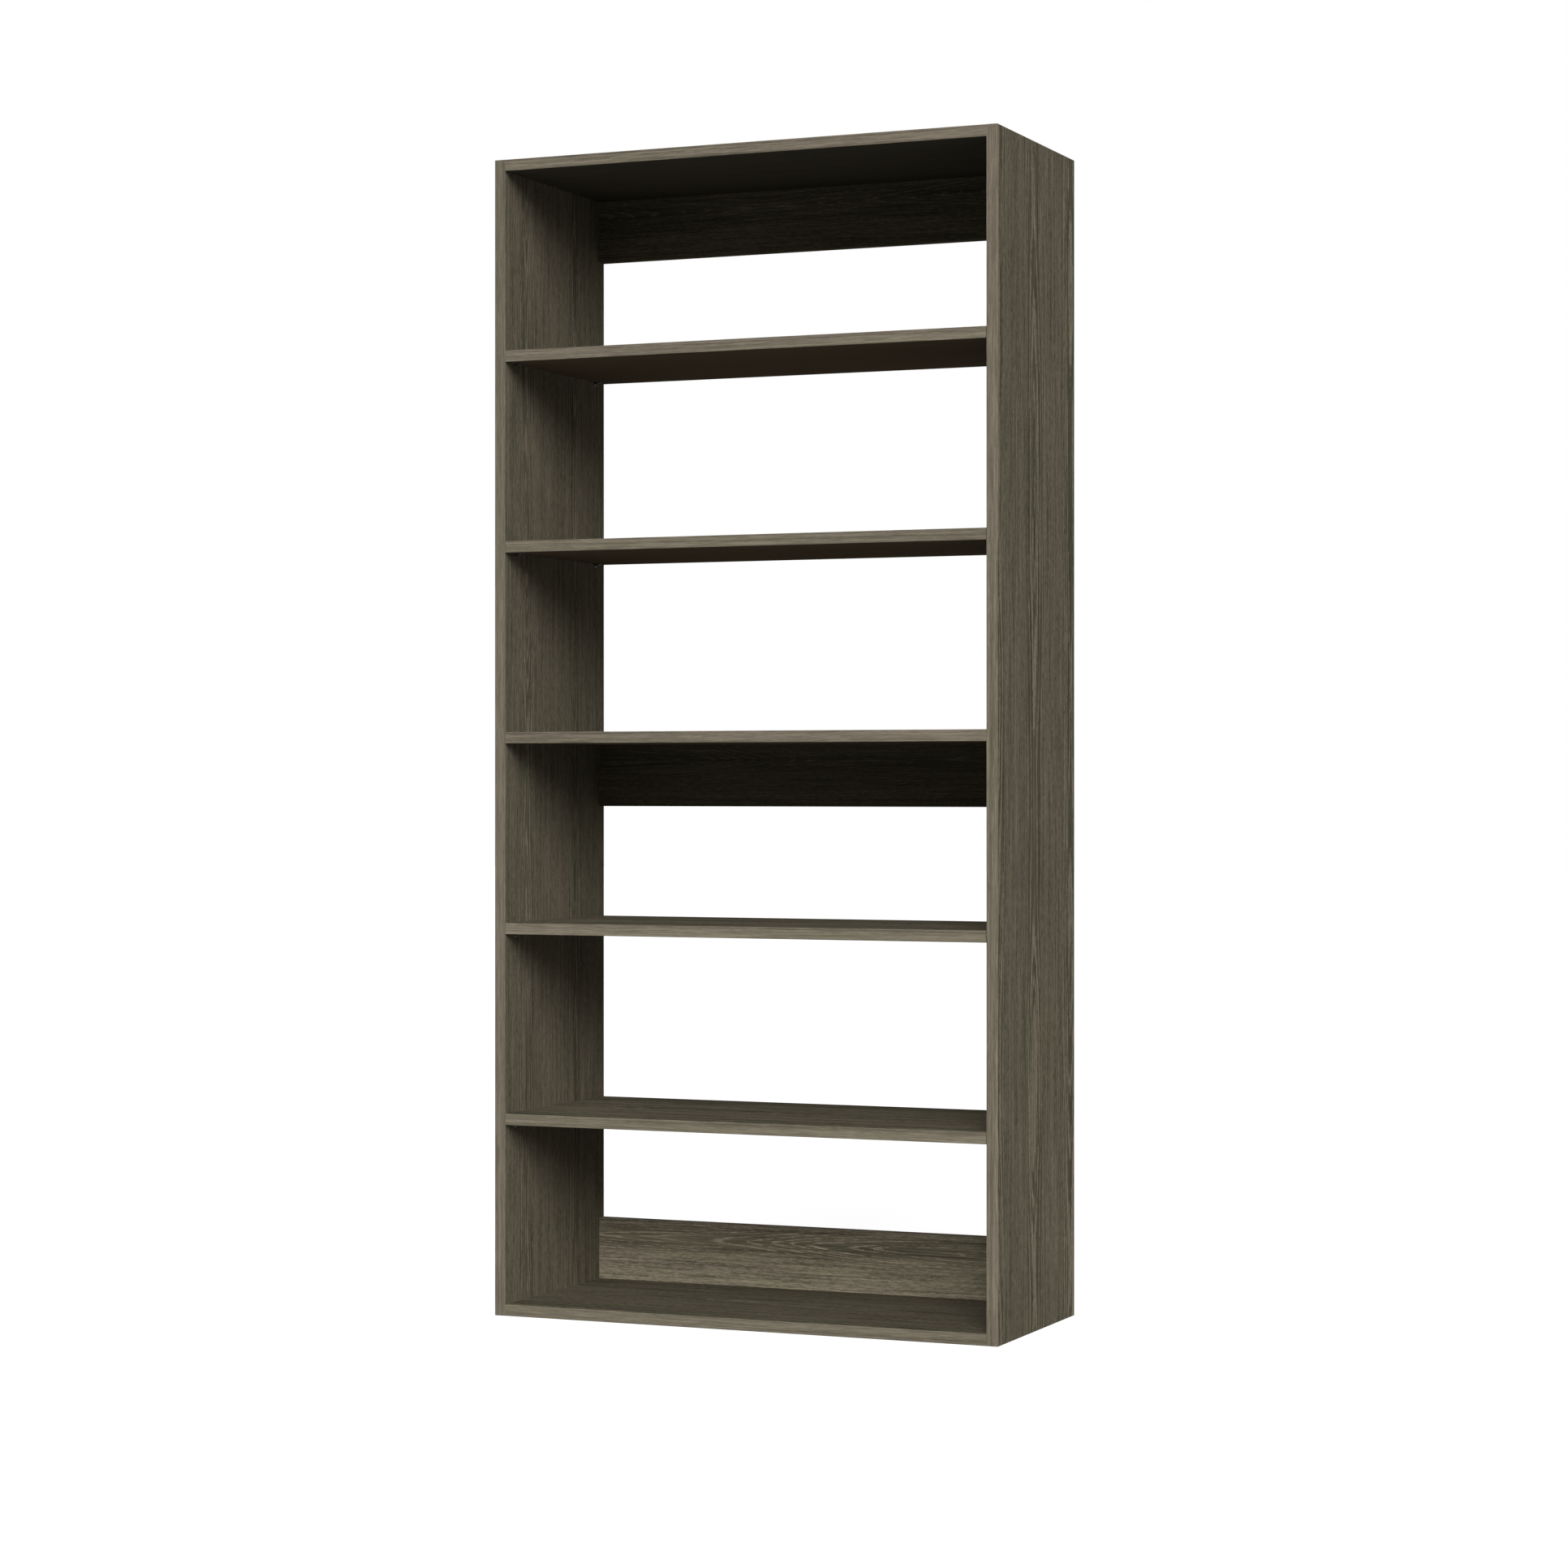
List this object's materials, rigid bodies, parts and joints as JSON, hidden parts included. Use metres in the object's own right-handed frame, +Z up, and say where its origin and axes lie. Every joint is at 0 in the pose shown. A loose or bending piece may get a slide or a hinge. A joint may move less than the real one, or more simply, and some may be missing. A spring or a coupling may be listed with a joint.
{
  "type": "bookcase with adjustable shelves",
  "caption": "Tall open-backed bookcase of laminated board, with a fixed middle shelf, back rails and adjustable shelves that lift off pull-out pins.",
  "frame": {"origin": "on the floor, in the middle of the footprint", "axes": "+X to the right seen from the front, +Y to the back, +Z up"},
  "size_m": [0.8954, 0.381, 1.939],
  "materials": {
    "laminate_upright": "grey-brown woodgrain laminate, grain upright",
    "laminate_board": "grey-brown woodgrain laminate, grain along the board",
    "edge_band": "woodgrain edge band, rounded",
    "hole_cap": "matt, matched to the laminate",
    "cam_lock": "die-cast zinc",
    "bolt": "zinc plated",
    "dowel": "beech",
    "shelf_pin": "dark bronze"
  },
  "bodies": {
    "carcass": {"left_side_panel": "laminate_upright", "left_side_panel_edge_bands": "edge_band", "left_hole_caps": "hole_cap", "right_side_panel": "laminate_upright", "right_side_panel_edge_bands": "edge_band", "right_hole_caps": "hole_cap", "bottom_panel": "laminate_board", "bottom_panel_edge_bands": "edge_band", "bottom_panel_cam_locks": "cam_lock", "bottom_panel_bolts": "bolt", "bottom_panel_dowels": "dowel", "middle_shelf": "laminate_board", "middle_shelf_edge_bands": "edge_band", "middle_shelf_cam_locks": "cam_lock", "middle_shelf_bolts": "bolt", "middle_shelf_dowels": "dowel", "top_panel": "laminate_board", "top_panel_edge_bands": "edge_band", "top_panel_cam_locks": "cam_lock", "top_panel_bolts": "bolt", "top_panel_dowels": "dowel", "bottom_rail": "laminate_board", "bottom_rail_edge_bands": "edge_band", "bottom_rail_cam_locks": "cam_lock", "bottom_rail_bolts": "bolt", "bottom_rail_dowels": "dowel", "middle_rail": "laminate_board", "middle_rail_edge_bands": "edge_band", "middle_rail_cam_locks": "cam_lock", "middle_rail_bolts": "bolt", "middle_rail_dowels": "dowel", "top_rail": "laminate_board", "top_rail_edge_bands": "edge_band", "top_rail_cam_locks": "cam_lock", "top_rail_bolts": "bolt", "top_rail_dowels": "dowel"},
    "shelf_1": {"adjustable_shelf_1": "laminate_board", "adjustable_shelf_1_edge_bands": "edge_band"},
    "shelf_1_left_pin_pair": {"shelf_1_left_pins": "shelf_pin"},
    "shelf_1_right_pin_pair": {"shelf_1_right_pins": "shelf_pin"},
    "shelf_2": {"adjustable_shelf_2": "laminate_board", "adjustable_shelf_2_edge_bands": "edge_band"},
    "shelf_2_left_pin_pair": {"shelf_2_left_pins": "shelf_pin"},
    "shelf_2_right_pin_pair": {"shelf_2_right_pins": "shelf_pin"},
    "shelf_3": {"adjustable_shelf_3": "laminate_board", "adjustable_shelf_3_edge_bands": "edge_band"},
    "shelf_3_left_pin_pair": {"shelf_3_left_pins": "shelf_pin"},
    "shelf_3_right_pin_pair": {"shelf_3_right_pins": "shelf_pin"},
    "shelf_4": {"adjustable_shelf_4": "laminate_board", "adjustable_shelf_4_edge_bands": "edge_band"},
    "shelf_4_left_pin_pair": {"shelf_4_left_pins": "shelf_pin"},
    "shelf_4_right_pin_pair": {"shelf_4_right_pins": "shelf_pin"}
  },
  "joints": [
    {"name": "shelf_1_lift", "type": "slide", "parent": "carcass", "child": "shelf_1", "axis": [0, 0, 1], "range_m": [0, 0.064]},
    {"name": "shelf_1_left_pins_pull", "type": "slide", "parent": "carcass", "child": "shelf_1_left_pin_pair", "axis": [1, 0, 0], "range_m": [0, 0.012]},
    {"name": "shelf_1_right_pins_pull", "type": "slide", "parent": "carcass", "child": "shelf_1_right_pin_pair", "axis": [-1, 0, 0], "range_m": [0, 0.012]},
    {"name": "shelf_2_lift", "type": "slide", "parent": "carcass", "child": "shelf_2", "axis": [0, 0, 1], "range_m": [0, 0.064]},
    {"name": "shelf_2_left_pins_pull", "type": "slide", "parent": "carcass", "child": "shelf_2_left_pin_pair", "axis": [1, 0, 0], "range_m": [0, 0.012]},
    {"name": "shelf_2_right_pins_pull", "type": "slide", "parent": "carcass", "child": "shelf_2_right_pin_pair", "axis": [-1, 0, 0], "range_m": [0, 0.012]},
    {"name": "shelf_3_lift", "type": "slide", "parent": "carcass", "child": "shelf_3", "axis": [0, 0, 1], "range_m": [0, 0.064]},
    {"name": "shelf_3_left_pins_pull", "type": "slide", "parent": "carcass", "child": "shelf_3_left_pin_pair", "axis": [1, 0, 0], "range_m": [0, 0.012]},
    {"name": "shelf_3_right_pins_pull", "type": "slide", "parent": "carcass", "child": "shelf_3_right_pin_pair", "axis": [-1, 0, 0], "range_m": [0, 0.012]},
    {"name": "shelf_4_lift", "type": "slide", "parent": "carcass", "child": "shelf_4", "axis": [0, 0, 1], "range_m": [0, 0.064]},
    {"name": "shelf_4_left_pins_pull", "type": "slide", "parent": "carcass", "child": "shelf_4_left_pin_pair", "axis": [1, 0, 0], "range_m": [0, 0.012]},
    {"name": "shelf_4_right_pins_pull", "type": "slide", "parent": "carcass", "child": "shelf_4_right_pin_pair", "axis": [-1, 0, 0], "range_m": [0, 0.012]}
  ]
}
